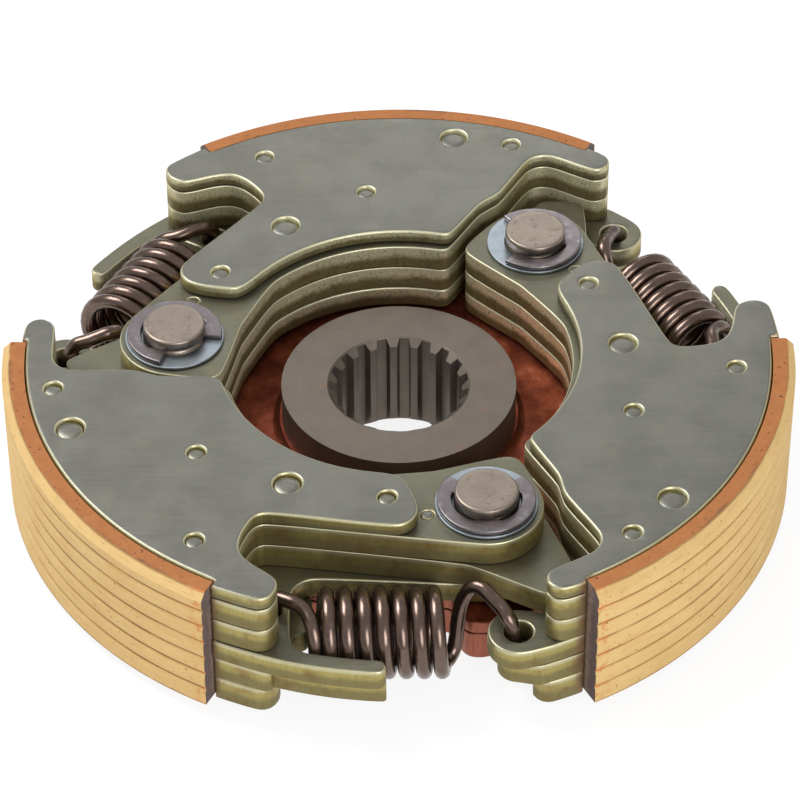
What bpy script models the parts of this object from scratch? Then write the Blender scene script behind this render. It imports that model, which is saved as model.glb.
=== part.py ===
"""A three-shoe centrifugal clutch: a splined hub, a carrier, and three laminated shoes on pins.

The clutch axis is the world's Z axis, and Z = 0 is the back face of the hub.
Sizes are in millimetres and angles in degrees, and the meshes are built in metres.

Two plan frames are used.
The sector frame is the world's plan: the first return spring lies along X at angle 270.
The shoe frame is turned so that the shoe's own pin is at angle 270, with its lining near angle 188.
"""
import math

import bmesh
import bpy
from mathutils import Matrix, Vector

MM = 0.001
SHOES = 3
SECTOR = 360 / SHOES

# Clearances
FACE_GAP = 0.05
BORE_GAP = 0.15
SLIDE_GAP = 0.3
BRAZE_GAP = 0.1

# Roundness
FULL_TURN = 360
ARC_STEP = 6.5
CORNER_STEP = 45.0
BOSS_STEP = 20
LOBE_STEP = 30
CLIP_STEP = 23
SHARP_EDGE = 35
CORNER_ROOM = 0.98
RIVET_SIDES = 8
BORE_SIDES = 16
HOOK_HOLE_SIDES = 10
TURNED_SIDES = 18
HUB_SIDES = 36

# Linings
LINING_RADIUS = 69.0
LINING_THICKNESS = 3.95
LINING_START = 156.5
LINING_END = 220.4
LINING_BOTTOM = 2.4
LINING_HEIGHT = 25.4
LINING_CHAMFER = 1.4
LINING_BANDS = 7
LINING_GROOVE = 0.35

# Stack of shoe plates, from the bottom up
STACK_BOTTOM = 1.9
BOTTOM_PLATE = 5.2
GUARD_PLATE = 4.6
SPRING_PLATE = 4.2
ARM_PLATE = 4.8
TOP_PLATE = 2.7

# Rim of the shoe plates
FINGER_STEP = 1.7
FINGER_WIDTH = 6.1
FINGER_ROUND = 2.9
FREE_FINGER = 5.6
FREE_FINGER_STEP = 0.9
LOW_FINGER_EXTRA = 1.8
PIVOT_FINGER = 9.3
NOTCH_ANGLE = 163.6
NOTCH_ROUND = 4.0
SHOULDER_START = 171.5
SHOULDER_HEADINGS = (-121.7, -143.4)
SHOULDER_ROUNDS = (2.2, 5.0)

# Pivot pins, their bosses and the arms of the shoes
PIN_ANGLE = 291.6
PIN_CIRCLE = 39.7
PIN_RADIUS = 5.4
PIN_FOOT = 0.9
PIN_END = 1.8
PIN_CHAMFER = 0.8
BOSS_RADIUS = 9.8
BOSS_SHOULDER = 9.8
BOSS_CROWN = 10.9
BOSS_CROWN_SIDE = 5.0
BOSS_ROUNDS = (3.0, 6.0)
SHOULDER_GAP = 3.1
ARM_EDGE_ANGLE = 150.0
ARM_EDGE_LENGTH = 37.6
ARM_INNER_RADIUS = 30.4
TOP_INNER_RADIUS = 31.7
TOP_TIP_RISE = 9.3
TOP_TIP_DROP = 5.3
TOP_TIP_SLANT = 0.4
TOP_TIP_ROUNDS = (4.4, 3.5)
INNER_ARC_START = 237.0
TOP_INNER_START = 243.0
INNER_ARC_END = 178.5
BAY_RADIUS = 57.7
BAY_ANGLE = 219.6
BAY_ROUND = 5.0
ARM_ROOT_ROUND = 3.0
TAIL_LEFT = 3.2
TAIL_RIGHT = 10.0
TAIL_GAP = 1.3
TAIL_CORNER_DROP = 15.9
TAIL_ROOT = (-6.5, -7.6)
TAIL_ROUNDS = (8.0, 2.0, 3.5)

# Washers and retaining clips
WASHER_RADIUS = 8.8
WASHER_THICKNESS = 0.5
CLIP_RADIUS = 8.5
CLIP_THICKNESS = 0.9
CLIP_GROOVE_RADIUS = 4.3
CLIP_RECESS = 1.5
CLIP_OPENING = 48.0
CLIP_SIDE_TONGUE = 22.0
CLIP_MIDDLE_TONGUE = 14.0
CLIP_SLOPE = 8.0
CLIP_HEADINGS = (90.0, 180.0, 303.0)

# Rivets, in the shoe frame
RIVET_RADIUS = 1.5
BIG_RIVET_RADIUS = 2.45
BOSS_RIVET_RADIUS = 1.1
BOSS_RIVET_GAP = 0.35
BOSS_RIVET_ANGLE = 172.5
RIM_RIVETS = ((60.4, 168.1), (58.7, 213.1))
RIM_BIG_RIVETS = ((59.6, 178.4),)
WEB_RIVETS = ((43.4, 196.1), (37.8, 245.3))
WEB_BIG_RIVETS = ((39.1, 219.7),)

# Return springs, in the sector frame
SPRING_AXIS_RADIUS = 54.6
SPRING_HEIGHT = 13.0
WIRE_RADIUS = 1.3
COIL_RADIUS = 6.6
COIL_PITCH = 2.98
COIL_TURNS = 7
FIRST_COIL_FRONT = -11.2
COIL_LEAD = 262.0
COIL_TRAIL = 78.0
COIL_STEPS = 8
HOOK_HOLE_GAP = 1.3
HOOK_WALL = 2.7
HOOK_FLOOR = 0.8

# Where the bent ends of a spring pass, from their hole and from the last coil
LEFT_HOOK = (-22.0, -51.8)
LEFT_ARCH = ((0.1, 0, 3.0), (0.7, -0.2, 4.9), (1.8, -0.8, 6.1), (3.0, -1.5, 6.4), (4.2, -2.2, 6.5),
             (5.5, -3.0, 6.3), (6.6, -4.2, 5.9), (7.4, -6.0, 5.2), (7.9, -7.4, 3.9))
LEFT_LEG = ((-0.5, -6.6, 8.1), (-0.5, -6.7, 5.5), (-0.4, -5.5, 2.7), (-0.2, -3.3, 0.5))
RIGHT_HOOK = (19.6, -57.3)
RIGHT_LEG = ((0.9, 1.7, -0.1), (1.7, 3.0, 0.9), (2.1, 3.9, 2.8), (2.3, 4.5, 5.0))
RIGHT_ARCH = ((-9.5, 6.8, 1.4), (-8.8, 7.3, 3.9), (-7.4, 7.4, 6.2), (-5.7, 6.6, 6.9), (-4.2, 5.0, 6.3),
              (-3.0, 3.3, 5.8), (-1.8, 1.3, 5.0), (-1.0, 0.5, 3.4), (-0.8, 0.1, 1.6))
RIGHT_HOOK_LEAN = 0.7

# Window, guard strip, hook lobe and crescents of the lower plates
WINDOW_LEFT = -18.3
WINDOW_TOP = -44.4
WINDOW_BOTTOM = -61.0
WINDOW_ROUNDS = (3.5, 4.5)
STRIP_STEP = 0.3
STRIP_WIDTH = 3.1
STRIP_END = 246.4
STRIP_ROUND = 2.0
STRIP_CORNER = 3.0
STRIP_INNER_START = 235.0
GUARD_SET_BACK = 1.8
GUARD_CORNERS = ((-18.0, -54.0), (-15.4, -53.0), (-14.6, -46.1))
GUARD_CORNER_ROUND = 1.5
LOBE_NECK_INSET = 0.6
LOBE_NECK_LEAD = 4.6
LOBE_NECK_ROUND = 2.5
LOBE_ARC = (-75.0, 135.0)
LOBE_TIP_ROUND = 1.5
CRESCENT_GAP = 1.2
LOBE_GAP = 1.7
CRESCENT_END = 223.0
GUARD_CRESCENT_END = 229.0
CRESCENT_CORNER_RISE = 2.0
CRESCENT_CORNER_LEAD = 2.5
CRESCENT_LEADS = (7.0, 4.4, 2.6)
CRESCENT_ROUND = 2.0
HORN_REACH = 7.5
HORN_HEADING = -161.0

# Carrier
CARRIER_GAP = 1.3
LOBE_RISE = 7.5
LOBE_LEAD = 9.6
LOBE_TRAIL = 17.4
LOBE_FLANKS = (0.8, 1.5)
LOBE_CORNERS = (5.0, 6.0)
LOBE_ROUNDS = (2.0, 3.0)
CARRIER_PLATE = 2.6
CARRIER_BACK_PLATE = 5.9

# Hub
HUB_RADIUS = 20.6
HUB_HEIGHT = 19.8
HUB_CHAMFER = 0.6
SPLINE_TEETH = 19
SPLINE_ROOT_RADIUS = 12.3
SPLINE_TIP_RADIUS = 11.1
SPLINE_ROOT_SHARE = 0.42
SPLINE_TIP_SHARE = 0.34

# Sizes that follow from the ones above
SEAT_RADIUS = LINING_RADIUS - LINING_THICKNESS - BORE_GAP
SEAT_MARGIN = math.degrees(SLIDE_GAP / SEAT_RADIUS)
SEAT_START = LINING_START - SEAT_MARGIN
SEAT_END = LINING_END + SEAT_MARGIN
FINGER_RADIUS = SEAT_RADIUS + FINGER_STEP
FINGER_INNER = FINGER_RADIUS - FINGER_WIDTH
FREE_RADIUS = SEAT_RADIUS + FREE_FINGER_STEP
FREE_TIP = SEAT_START - FREE_FINGER + SEAT_MARGIN
PIVOT_TIP = SEAT_END + PIVOT_FINGER - SEAT_MARGIN
STRIP_RADIUS = FINGER_RADIUS + STRIP_STEP
STRIP_INNER = STRIP_RADIUS - STRIP_WIDTH
GUARD_BOTTOM = STACK_BOTTOM + BOTTOM_PLATE
SPRING_BOTTOM = GUARD_BOTTOM + GUARD_PLATE
LOWER_ARM_BOTTOM = SPRING_BOTTOM + SPRING_PLATE
UPPER_ARM_BOTTOM = LOWER_ARM_BOTTOM + ARM_PLATE
TOP_BOTTOM = UPPER_ARM_BOTTOM + ARM_PLATE
STACK_TOP = TOP_BOTTOM + TOP_PLATE
CARRIER_TOP = SPRING_BOTTOM - SLIDE_GAP
CARRIER_SEAM = CARRIER_TOP - CARRIER_PLATE
CARRIER_BOTTOM = CARRIER_SEAM - CARRIER_BACK_PLATE
CARRIER_RADIUS = SPRING_AXIS_RADIUS - COIL_RADIUS - WIRE_RADIUS - CARRIER_GAP
LOBE_RADIUS = CARRIER_RADIUS + LOBE_RISE
CRESCENT_INNER = CARRIER_RADIUS + CRESCENT_GAP
CRESCENT_SHOULDER = LOBE_RADIUS + LOBE_GAP
WASHER_BOTTOM = TOP_BOTTOM + FACE_GAP
CLIP_BOTTOM = WASHER_BOTTOM + WASHER_THICKNESS + FACE_GAP
CLIP_TOP = CLIP_BOTTOM + CLIP_THICKNESS
PIN_TOP = CLIP_TOP + FACE_GAP + PIN_END
PIN_BOTTOM = CARRIER_BOTTOM - PIN_FOOT
PIN_HOLE_RADIUS = PIN_RADIUS + BORE_GAP
HOOK_HOLE_RADIUS = WIRE_RADIUS + HOOK_HOLE_GAP
HOOK_BOTTOM = SPRING_BOTTOM + HOOK_FLOOR
LAST_COIL_FRONT = FULL_TURN * (COIL_TURNS - 1)
SHOE_TURN = PIN_ANGLE - 270
PIN_AT = (0.0, -PIN_CIRCLE)

# Colour, roughness and metallic value of each finish
STEEL_TOP = ((0.19, 0.20, 0.17), 0.45, 0.8)
ZINC_YELLOW = ((0.33, 0.28, 0.10), 0.45, 0.7)
HUB_STEEL = ((0.18, 0.15, 0.13), 0.5, 0.7)
COPPER = ((0.30, 0.11, 0.06), 0.4, 0.8)
SPRING_BRONZE = ((0.10, 0.06, 0.05), 0.35, 0.8)
FRICTION = ((0.70, 0.48, 0.20), 0.9, 0.0)
PIN_STEEL = ((0.30, 0.28, 0.24), 0.4, 0.9)
CLIP_STEEL = ((0.45, 0.46, 0.47), 0.3, 1.0)


def clear_scene():
    """Remove every object that the file opened with."""
    for old in list(bpy.data.objects):
        bpy.data.objects.remove(old, do_unlink=True)


def polar(radius, degrees, rounding=0.0):
    """Return the plan corner at a radius and an angle about the clutch axis."""
    turn = math.radians(degrees)
    return (radius * math.cos(turn), radius * math.sin(turn), rounding)


def about(centre, radius, degrees, rounding=0.0):
    """Return the plan corner at a radius and an angle about another centre."""
    x, y, _ = polar(radius, degrees)
    return (centre[0] + x, centre[1] + y, rounding)


def arc(radius, start, end, centre=(0.0, 0.0), step=ARC_STEP):
    """Return the corners of an arc, both ends included."""
    count = max(1, math.ceil(abs(end - start) / step))
    return [about(centre, radius, start + (end - start) * i / count) for i in range(count + 1)]


def ring(radius, sides, centre=(0.0, 0.0)):
    """Return a closed ring of corners around a circle."""
    return [about(centre, radius, FULL_TURN * i / sides) for i in range(sides)]


def turned_plan(point, degrees, rounding=0.0):
    """Turn a plan point about the clutch axis."""
    turn = math.radians(degrees)
    x = point[0] * math.cos(turn) - point[1] * math.sin(turn)
    y = point[0] * math.sin(turn) + point[1] * math.cos(turn)
    return (x, y, rounding)


def corner_tangent(before, corner, after):
    """Return the tangent length that a corner's rounding asks for, and its turn."""
    entry = Vector(corner[:2]) - Vector(before[:2])
    leaving = Vector(after[:2]) - Vector(corner[:2])
    turn = entry.angle(leaving)
    return corner[2] * math.tan(turn / 2), turn


def rounded(corners):
    """Replace each corner that has a rounding by an arc, kept within its edges."""
    count = len(corners)
    wanted = [corner_tangent(corners[i - 1], corners[i], corners[(i + 1) % count]) for i in range(count)]
    outline = []
    for i, corner in enumerate(corners):
        tangent, turn = wanted[i]
        here = Vector(corner[:2])
        if tangent < 0.01:
            outline.append(here)
            continue
        entry = Vector(corners[i - 1][:2]) - here
        leaving = Vector(corners[(i + 1) % count][:2]) - here
        room = min(entry.length / (tangent + wanted[i - 1][0]),
                   leaving.length / (tangent + wanted[(i + 1) % count][0]), 1.0)
        reach = tangent * room * CORNER_ROOM
        outline += corner_arc(here, entry.normalized(), leaving.normalized(), reach, turn)
    return outline


def corner_arc(here, entry, leaving, reach, turn):
    """Return points round a corner, from the tangent point on one edge to that on the other."""
    radius = reach / math.tan(turn / 2)
    inward = (entry + leaving).normalized()
    centre = here + inward * math.hypot(radius, reach)
    start = here + entry * reach - centre
    side = 1 if start.cross(here + leaving * reach - centre) > 0 else -1
    steps = max(1, math.ceil(math.degrees(turn) / CORNER_STEP))
    return [centre + Matrix.Rotation(side * turn * i / steps, 2) @ start for i in range(steps + 1)]


def material(name, finish):
    """Return the material of a finish, made once."""
    if name in bpy.data.materials:
        return bpy.data.materials[name]
    colour, roughness, metallic = finish
    made = bpy.data.materials.new(name)
    made.use_nodes = True
    shader = made.node_tree.nodes["Principled BSDF"]
    shader.inputs["Base Color"].default_value = (*colour, 1)
    shader.inputs["Roughness"].default_value = roughness
    shader.inputs["Metallic"].default_value = metallic
    return made


def add_node(name, data, finish_name, finish, parent=None, turn=0.0, place=(0.0, 0.0, 0.0)):
    """Link one named piece, with its material, its parent and its place in millimetres."""
    data.name = name
    data.materials.clear()
    data.materials.append(material(finish_name, finish))
    piece = bpy.data.objects.new(name, data)
    bpy.context.collection.objects.link(piece)
    piece.parent = parent
    piece.location = Vector(place) * MM
    piece.rotation_euler = (0, 0, math.radians(turn))
    return piece


def mesh_from(bm, smooth=False):
    """Turn a bmesh in millimetres into a mesh in metres with its faces pointing out."""
    bmesh.ops.recalc_face_normals(bm, faces=bm.faces)
    bmesh.ops.scale(bm, vec=(MM, MM, MM), verts=bm.verts)
    mesh = bpy.data.meshes.new("piece")
    bm.to_mesh(mesh)
    bm.free()
    if smooth:
        mesh.shade_smooth()
        mesh.set_sharp_from_angle(angle=math.radians(SHARP_EDGE))
    return mesh


def prism(loops, bottom, top, shift=(0.0, 0.0)):
    """Fill an outline and its holes, and extrude the face from one height to another."""
    bm = bmesh.new()
    for loop in loops:
        verts = [bm.verts.new((point[0] - shift[0], point[1] - shift[1], bottom)) for point in loop]
        for i, vert in enumerate(verts):
            bm.edges.new((verts[i - 1], vert))
    bmesh.ops.triangle_fill(bm, use_beauty=True, use_dissolve=False, edges=bm.edges[:], normal=(0, 0, 1))
    raised = bmesh.ops.extrude_face_region(bm, geom=bm.faces[:])["geom"]
    verts = [item for item in raised if isinstance(item, bmesh.types.BMVert)]
    bmesh.ops.translate(bm, vec=(0, 0, top - bottom), verts=verts)
    return bm


def spun(profile, sides):
    """Turn a profile of radius and height pairs about Z."""
    bm = bmesh.new()
    verts = [bm.verts.new((radius, 0, height)) for radius, height in profile]
    closed = all(radius > 0 for radius, _ in profile)
    edges = [bm.edges.new((verts[i - 1], verts[i])) for i in range(0 if closed else 1, len(verts))]
    bmesh.ops.spin(bm, geom=verts + edges, cent=(0, 0, 0), axis=(0, 0, 1),
                   angle=2 * math.pi, steps=sides, use_merge=True)
    bmesh.ops.remove_doubles(bm, verts=bm.verts, dist=0.001)
    return bm


def seat():
    """Return the outer arc that carries the lining."""
    return arc(SEAT_RADIUS, SEAT_START, SEAT_END)


def pivot_finger():
    """Return the finger that closes the lining's end on the pivot side."""
    return [polar(FINGER_RADIUS, SEAT_END),
            polar(FINGER_RADIUS, PIVOT_TIP, FINGER_ROUND),
            polar(FINGER_INNER, PIVOT_TIP, FINGER_ROUND)]


def free_finger(extra=0.0):
    """Return the finger that closes the lining's free end."""
    return [polar(FINGER_INNER, FREE_TIP - extra, FINGER_ROUND),
            polar(FREE_RADIUS, FREE_TIP - extra, FINGER_ROUND),
            polar(FREE_RADIUS, SEAT_START)]


def notch():
    """Return the corner between the shoe's shoulder and its free finger."""
    return [polar(FINGER_INNER, NOTCH_ANGLE, NOTCH_ROUND)]


def shoulder(inner_radius):
    """Return the edge that runs round the next shoe's boss, from the inner arc to the notch."""
    next_pin = polar(PIN_CIRCLE, 270 - SECTOR)
    start_round, side_round = SHOULDER_ROUNDS
    sides = [about(next_pin, BOSS_RADIUS + SHOULDER_GAP, heading, side_round) for heading in SHOULDER_HEADINGS]
    return [polar(inner_radius, SHOULDER_START, start_round)] + sides


def bay():
    """Return the open bay's two corners, the second on the edge that is tangent to the boss."""
    foot = about(PIN_AT, BOSS_RADIUS, ARM_EDGE_ANGLE + 90)
    return [polar(BAY_RADIUS, BAY_ANGLE, BAY_ROUND),
            about(foot, ARM_EDGE_LENGTH, ARM_EDGE_ANGLE, ARM_ROOT_ROUND)]


def boss():
    """Return the round outer end of the arm, about the pin."""
    return arc(BOSS_RADIUS, ARM_EDGE_ANGLE + 90, FULL_TURN, PIN_AT, BOSS_STEP)


def boss_crown(inner_radius):
    """Return the boss's upper edge and the arc that runs on along the hub's side."""
    side_round, crown_round = BOSS_ROUNDS
    return ([(PIN_AT[0] + BOSS_RADIUS, PIN_AT[1] + BOSS_SHOULDER, side_round),
             (PIN_AT[0] - BOSS_CROWN_SIDE, PIN_AT[1] + BOSS_CROWN, crown_round)]
            + arc(inner_radius, INNER_ARC_START, INNER_ARC_END))


def top_plate_outline():
    """Return the thin top plate, whose arm stops short of the pin."""
    tip_x = PIN_AT[0] - boss_rivet_distance() - BOSS_RIVET_RADIUS - BOSS_RIVET_GAP
    lower_round, upper_round = TOP_TIP_ROUNDS
    arm_tip = [(tip_x, PIN_AT[1] - TOP_TIP_DROP, lower_round),
               (tip_x + TOP_TIP_SLANT, PIN_AT[1] + TOP_TIP_RISE, upper_round)]
    inner = arc(TOP_INNER_RADIUS, TOP_INNER_START, INNER_ARC_END)
    return (seat() + pivot_finger() + bay() + arm_tip + inner
            + shoulder(TOP_INNER_RADIUS) + notch() + free_finger())


def upper_arm_outline():
    """Return the arm plate whose round boss carries the washer."""
    return (seat() + pivot_finger() + bay() + boss() + boss_crown(ARM_INNER_RADIUS)
            + shoulder(ARM_INNER_RADIUS) + notch() + free_finger())


def lower_arm_outline():
    """Return the arm plate with a tail past the pin, which stops short of the next shoe's finger."""
    root_round, tip_round, corner_round = TAIL_ROUNDS
    tail = [(PIN_AT[0] + TAIL_ROOT[0], PIN_AT[1] + TAIL_ROOT[1], root_round),
            (PIN_AT[0] + TAIL_LEFT, TAIL_GAP - FINGER_INNER, tip_round),
            (PIN_AT[0] + TAIL_RIGHT, PIN_AT[1] - TAIL_CORNER_DROP, corner_round)]
    return (seat() + pivot_finger() + bay() + tail + boss_crown(ARM_INNER_RADIUS)
            + shoulder(ARM_INNER_RADIUS) + notch() + free_finger())


def strip(outer, start):
    """Return the guard strip outside the spring, from where it starts back to the window."""
    return (arc(outer, start, STRIP_END - STRIP_CORNER)
            + [polar(outer, STRIP_END, STRIP_ROUND), polar(STRIP_INNER, STRIP_END, STRIP_ROUND)]
            + arc(STRIP_INNER, STRIP_END - STRIP_CORNER, STRIP_INNER_START))


def hook_lobe(set_back, extra=0.0):
    """Return the lobe at the free end that takes the next spring's hook."""
    centre = turned_plan(RIGHT_HOOK, -SHOE_TURN - SECTOR)
    radius = HOOK_HOLE_RADIUS + HOOK_WALL - set_back
    return ([polar(FINGER_INNER - LOBE_NECK_INSET, FREE_TIP + LOBE_NECK_LEAD, LOBE_NECK_ROUND)]
            + arc(radius, *LOBE_ARC, centre, LOBE_STEP)
            + [polar(FREE_RADIUS, FREE_TIP - extra, LOBE_TIP_ROUND), polar(FREE_RADIUS, SEAT_START)])


def spring_plate_outline():
    """Return the plate that takes the spring hooks, with the window that the spring lies in."""
    bottom_round, top_round = WINDOW_ROUNDS
    window = [turned_plan((WINDOW_LEFT, WINDOW_BOTTOM), -SHOE_TURN, bottom_round),
              turned_plan((WINDOW_LEFT, WINDOW_TOP), -SHOE_TURN, top_round)]
    return (seat() + strip(STRIP_RADIUS, SEAT_END) + window + boss() + boss_crown(ARM_INNER_RADIUS)
            + shoulder(ARM_INNER_RADIUS) + notch() + hook_lobe(0))


def crescent_inner(end):
    """Return the lower plates' inner edge, which runs round the carrier and its lobe."""
    lobe_side = 270 - SECTOR + LOBE_TRAIL
    arc_lead, foot_lead, top_lead = CRESCENT_LEADS
    horn = about(polar(PIN_CIRCLE, 270 - SECTOR), BOSS_RADIUS + SHOULDER_GAP + HORN_REACH, HORN_HEADING)
    return (arc(CRESCENT_INNER, end, lobe_side + arc_lead)
            + [polar(CRESCENT_INNER, lobe_side + foot_lead, CRESCENT_ROUND),
               polar(CRESCENT_SHOULDER, lobe_side + top_lead, CRESCENT_ROUND), horn])


def guard_plate_outline():
    """Return the plate under the spring plate: a finger, a narrower strip, a crescent and a smaller lobe."""
    finger = pivot_finger()[:2]
    window = [turned_plan((WINDOW_LEFT, WINDOW_BOTTOM), -SHOE_TURN, WINDOW_ROUNDS[0])]
    window += [turned_plan(corner, -SHOE_TURN, GUARD_CORNER_ROUND) for corner in GUARD_CORNERS]
    return (seat() + finger + strip(STRIP_RADIUS - GUARD_SET_BACK, PIVOT_TIP) + window
            + crescent_inner(GUARD_CRESCENT_END) + notch() + hook_lobe(GUARD_SET_BACK, LOW_FINGER_EXTRA))


def bottom_plate_outline():
    """Return the lowest plate, a crescent with both fingers."""
    corner_at = CRESCENT_INNER + CRESCENT_CORNER_RISE
    bay_side = [polar(BAY_RADIUS, BAY_ANGLE, BAY_ROUND),
                polar(corner_at, CRESCENT_END + CRESCENT_CORNER_LEAD, CRESCENT_CORNER_RISE)]
    return (seat() + pivot_finger() + bay_side + crescent_inner(CRESCENT_END)
            + notch() + free_finger(LOW_FINGER_EXTRA))


def boss_rivet_distance():
    """Return how far the boss rivet stands from the pin, just clear of the washer."""
    return WASHER_RADIUS + BOSS_RIVET_GAP + BOSS_RIVET_RADIUS


def rim_rivets():
    """Return centre and radius of the rivets that pass through all six plates."""
    return ([(polar(*place), RIVET_RADIUS) for place in RIM_RIVETS]
            + [(polar(*place), BIG_RIVET_RADIUS) for place in RIM_BIG_RIVETS])


def web_rivets():
    """Return centre and radius of the rivets that pass through the four plates with an arm."""
    return ([(polar(*place), RIVET_RADIUS) for place in WEB_RIVETS]
            + [(polar(*place), BIG_RIVET_RADIUS) for place in WEB_BIG_RIVETS])


def boss_rivet():
    """Return centre and radius of the small rivet beside the pin."""
    return [(about(PIN_AT, boss_rivet_distance(), BOSS_RIVET_ANGLE), BOSS_RIVET_RADIUS)]


def rivet_holes(rivets):
    """Return a hole with clearance for each rivet."""
    return [ring(radius + BORE_GAP, RIVET_SIDES, centre) for centre, radius in rivets]


def hook_hole(hook, turn):
    """Return the hole that a spring hook drops into."""
    return ring(HOOK_HOLE_RADIUS, HOOK_HOLE_SIDES, turned_plan(hook, turn))


def shoe_plates():
    """Return name, outline, holes, bottom and top of each plate of a shoe."""
    pin_hole = [ring(PIN_HOLE_RADIUS, BORE_SIDES, PIN_AT)]
    rim = rivet_holes(rim_rivets())
    web = rivet_holes(web_rivets())
    arm = pin_hole + rim + web + rivet_holes(boss_rivet())
    lobe_hole = [hook_hole(RIGHT_HOOK, -SHOE_TURN - SECTOR)]
    window_hole = [hook_hole(LEFT_HOOK, -SHOE_TURN)]
    return (("top_plate", top_plate_outline(), rim + web, TOP_BOTTOM, STACK_TOP),
            ("upper_arm_plate", upper_arm_outline(), arm, UPPER_ARM_BOTTOM, TOP_BOTTOM),
            ("lower_arm_plate", lower_arm_outline(), arm, LOWER_ARM_BOTTOM, UPPER_ARM_BOTTOM),
            ("spring_plate", spring_plate_outline(), arm + lobe_hole + window_hole,
             SPRING_BOTTOM, LOWER_ARM_BOTTOM),
            ("guard_plate", guard_plate_outline(), rim, GUARD_BOTTOM, SPRING_BOTTOM),
            ("bottom_plate", bottom_plate_outline(), rim, STACK_BOTTOM, GUARD_BOTTOM))


def lining_profile():
    """Return the lining's section, with a shallow groove between its bands."""
    inner = LINING_RADIUS - LINING_THICKNESS
    top = LINING_BOTTOM + LINING_HEIGHT
    band = LINING_HEIGHT / LINING_BANDS
    profile = [(inner, LINING_BOTTOM), (LINING_RADIUS, LINING_BOTTOM)]
    for groove in range(1, LINING_BANDS):
        height = LINING_BOTTOM + groove * band
        profile += [(LINING_RADIUS, height - LINING_GROOVE),
                    (LINING_RADIUS - LINING_GROOVE, height),
                    (LINING_RADIUS, height + LINING_GROOVE)]
    profile += [(LINING_RADIUS, top - LINING_CHAMFER), (LINING_RADIUS - LINING_CHAMFER, top), (inner, top)]
    return profile


def lining_mesh():
    """Sweep the lining's section along its seat and close both ends."""
    bm = bmesh.new()
    turn = Matrix.Rotation(math.radians(LINING_START), 3, "Z")
    verts = [bm.verts.new(turn @ Vector((radius, 0, height))) for radius, height in lining_profile()]
    edges = [bm.edges.new((verts[i - 1], verts[i])) for i in range(len(verts))]
    sweep = LINING_END - LINING_START
    bmesh.ops.spin(bm, geom=verts + edges, cent=(0, 0, 0), axis=(0, 0, 1), angle=math.radians(sweep),
                   steps=math.ceil(sweep / ARC_STEP), use_duplicate=False)
    bmesh.ops.holes_fill(bm, edges=bm.edges, sides=0)
    bmesh.ops.translate(bm, vec=(-PIN_AT[0], -PIN_AT[1], 0), verts=bm.verts)
    return mesh_from(bm, smooth=True)


def rivet_mesh(radius, bottom, top):
    """Return a plain rivet shank, closed flush at both ends."""
    bm = bmesh.new()
    bmesh.ops.create_cone(bm, cap_ends=True, segments=RIVET_SIDES, radius1=radius, radius2=radius,
                          depth=top - bottom, matrix=Matrix.Translation((0, 0, (top + bottom) / 2)))
    bmesh.ops.rotate(bm, cent=(0, 0, 0), matrix=Matrix.Rotation(math.pi / 2, 3, "Z"), verts=bm.verts)
    return mesh_from(bm, smooth=True)


def make_shoe(number, heading):
    """Make one shoe on an empty at its pin, so that it turns about the pin's axis."""
    name = f"shoe_{number}"
    pivot = bpy.data.objects.new(f"{name}_pivot", None)
    bpy.context.collection.objects.link(pivot)
    pivot.location = Vector((*polar(PIN_CIRCLE, heading)[:2], 0)) * MM
    pivot.rotation_euler = (0, 0, math.radians(heading - 270))
    for plate, outline, holes, bottom, top in shoe_plates():
        finish = ("steel_top", STEEL_TOP) if plate == "top_plate" else ("zinc_yellow", ZINC_YELLOW)
        mesh = mesh_from(prism([rounded(outline)] + holes, bottom, top - FACE_GAP, PIN_AT))
        add_node(f"{name}_{plate}", mesh, *finish, parent=pivot)
    add_node(f"{name}_lining", lining_mesh(), "friction_lining", FRICTION, parent=pivot)
    rivets = [(rivet, STACK_BOTTOM, STACK_TOP) for rivet in rim_rivets()]
    rivets += [(rivet, SPRING_BOTTOM, STACK_TOP) for rivet in web_rivets()]
    rivets += [(rivet, SPRING_BOTTOM, TOP_BOTTOM) for rivet in boss_rivet()]
    for index, ((centre, radius), bottom, top) in enumerate(rivets, 1):
        place = (centre[0] - PIN_AT[0], centre[1] - PIN_AT[1], 0)
        add_node(f"{name}_rivet_{index}", rivet_mesh(radius, bottom, top - FACE_GAP),
                 "steel_top", STEEL_TOP, parent=pivot, place=place)


def make_pin(number, heading):
    """Make a pivot pin with the groove for its clip, standing in the carrier."""
    profile = [(0, PIN_BOTTOM), (PIN_RADIUS, PIN_BOTTOM),
               (PIN_RADIUS, CLIP_BOTTOM - FACE_GAP), (CLIP_GROOVE_RADIUS, CLIP_BOTTOM - FACE_GAP),
               (CLIP_GROOVE_RADIUS, CLIP_TOP + FACE_GAP), (PIN_RADIUS, CLIP_TOP + FACE_GAP),
               (PIN_RADIUS, PIN_TOP - PIN_CHAMFER), (PIN_RADIUS - PIN_CHAMFER, PIN_TOP), (0, PIN_TOP)]
    mesh = mesh_from(spun(profile, TURNED_SIDES), smooth=True)
    add_node(f"pivot_pin_{number}", mesh, "pin_steel", PIN_STEEL, place=(*polar(PIN_CIRCLE, heading)[:2], 0))


def make_washer(number, heading):
    """Make the flat washer between the boss and the clip."""
    loops = [ring(WASHER_RADIUS, TURNED_SIDES), ring(PIN_HOLE_RADIUS, TURNED_SIDES)]
    mesh = mesh_from(prism(loops, WASHER_BOTTOM, WASHER_BOTTOM + WASHER_THICKNESS))
    add_node(f"pin_washer_{number}", mesh, "clip_steel", CLIP_STEEL,
             place=(*polar(PIN_CIRCLE, heading)[:2], 0))


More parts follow.
